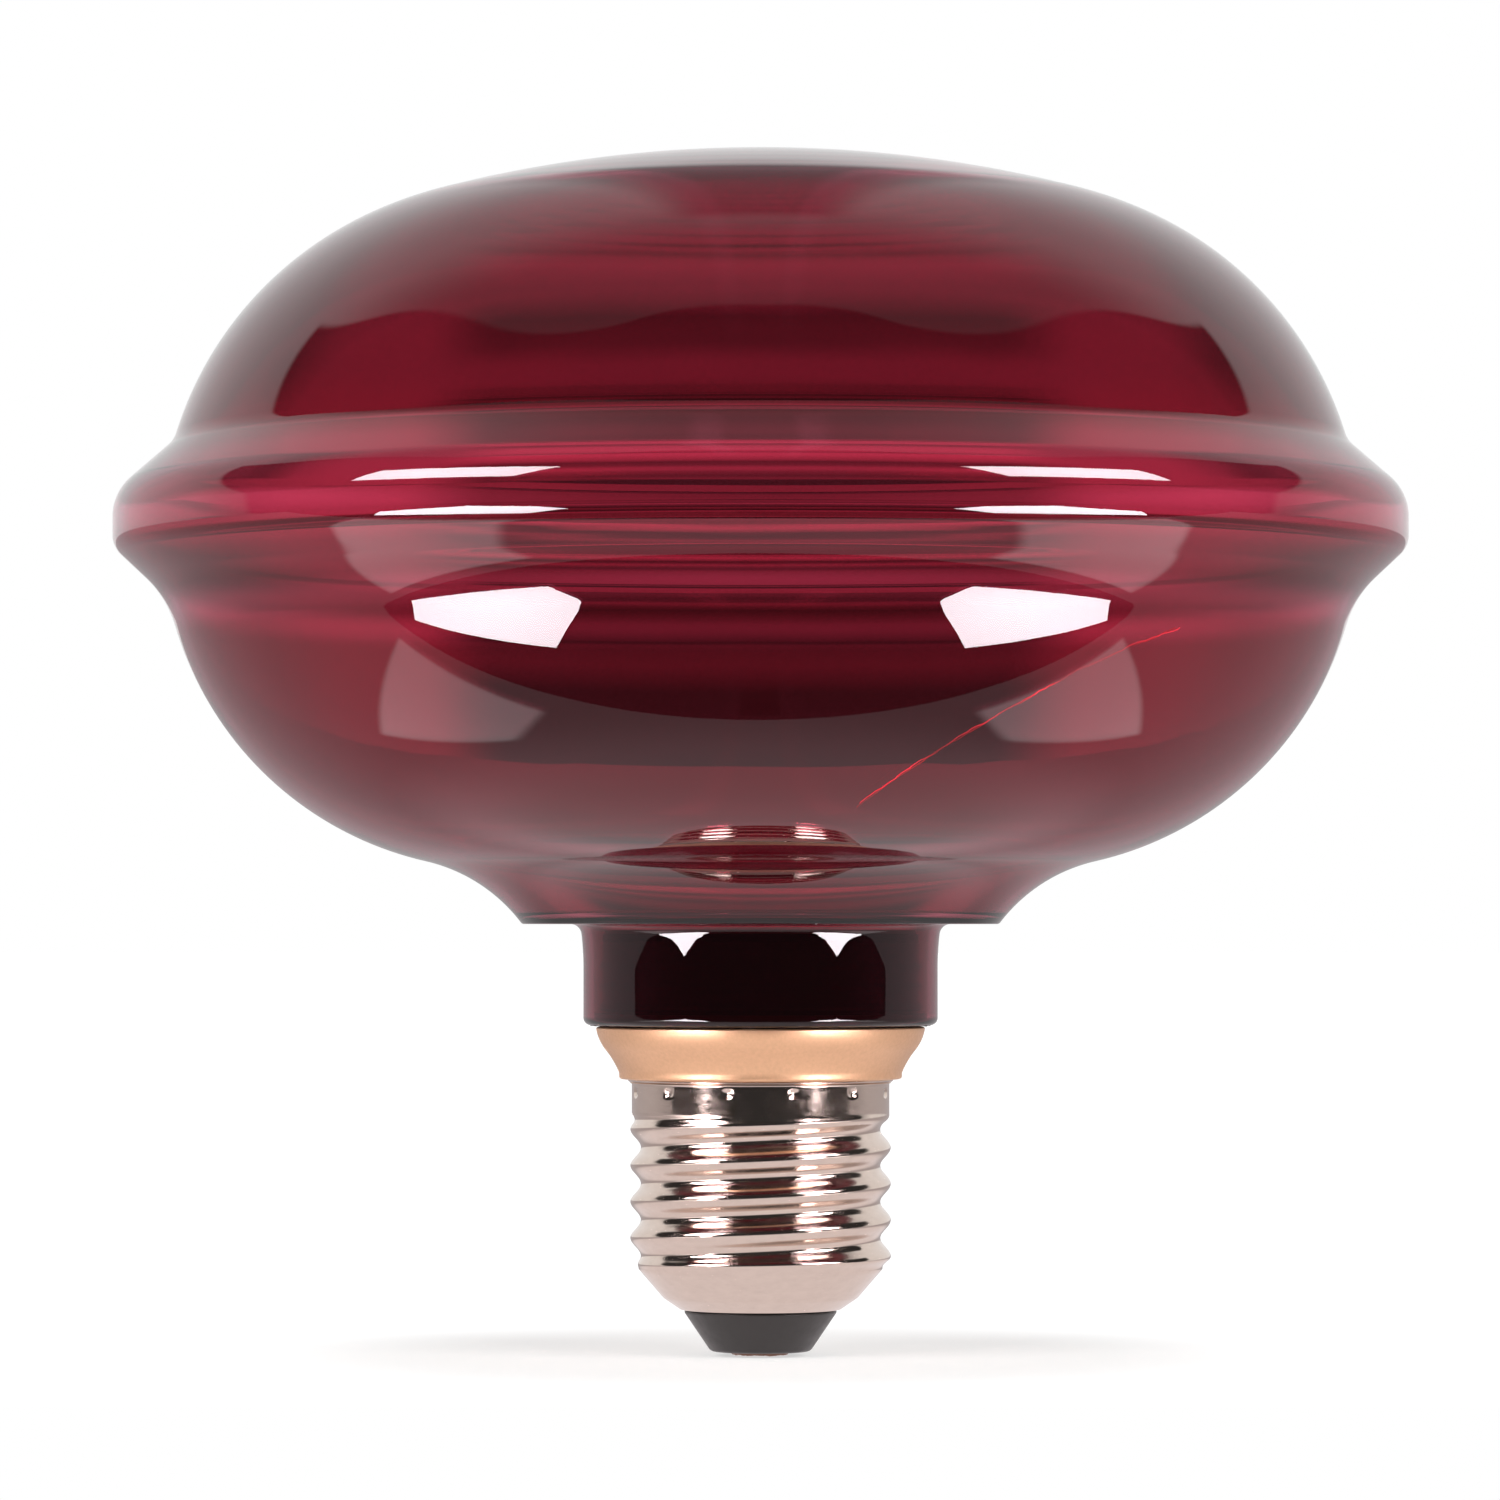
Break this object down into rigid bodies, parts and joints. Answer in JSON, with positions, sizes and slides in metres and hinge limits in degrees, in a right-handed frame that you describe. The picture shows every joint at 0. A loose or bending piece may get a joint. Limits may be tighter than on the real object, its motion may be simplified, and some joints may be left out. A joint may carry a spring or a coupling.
{
  "type": "led ufo bulb",
  "caption": "Saucer-shaped decorative LED lamp in ruby-tinted blown glass with a rolled rim, gold-painted collar and E27 screw cap",
  "frame": {"origin": "on the lamp's axis, at the tip of the centre contact", "axes": "+Z along the lamp's axis from the cap to the crown of the glass; the picture looks along +Y, with +X to its right"},
  "size_m": [0.13, 0.13, 0.1208],
  "materials": {
    "ruby_glass": "thin blown glass with a dark ruby tint, glossy",
    "cement": "dark cured lamp cement",
    "gold_paint": "satin rose-gold metallic paint with fine flake",
    "nickel_plate": "bright nickel-plated brass, slightly worn",
    "insulator_plastic": "black moulded plastic, satin",
    "contact_metal": "tinned contact rivet",
    "housing_plastic": "black moulded plastic",
    "cup_aluminium": "pressed aluminium",
    "white_board": "white solder mask on aluminium",
    "led_phosphor": "yellow phosphor in white packages",
    "screw_steel": "zinc-plated steel",
    "opal_plastic": "opal diffusing plastic",
    "green_board": "green solder mask on fibreglass",
    "capacitor_sleeve": "shrink sleeve",
    "ferrite": "sintered ferrite",
    "copper_wire": "enamelled copper winding",
    "film_capacitor_case": "dipped epoxy case",
    "chip_resin": "black moulding resin",
    "resistor_coat": "flameproof coating",
    "red_insulation": "red wire insulation",
    "tinned_wire": "tinned copper",
    "black_insulation": "black wire insulation"
  },
  "bodies": {
    "root": {"glass_envelope": "ruby_glass", "glass_adhesive": "cement", "collar_ring": "gold_paint", "screw_shell": "nickel_plate", "shell_insulator": "insulator_plastic", "centre_contact": "contact_metal", "driver_housing": "housing_plastic", "heat_sink_cup": "cup_aluminium", "led_board": "white_board", "led_chips": "led_phosphor", "led_board_screws": "screw_steel", "diffuser_cap": "opal_plastic", "driver_board": "green_board", "electrolytic_capacitor": "capacitor_sleeve", "choke_core": "ferrite", "choke_winding": "copper_wire", "film_capacitor": "film_capacitor_case", "bridge_rectifier": "chip_resin", "driver_ic": "chip_resin", "fusible_resistor": "resistor_coat", "live_lead": "red_insulation", "neutral_lead": "tinned_wire", "led_lead_positive": "red_insulation", "led_lead_negative": "black_insulation"}
  },
  "joints": []
}
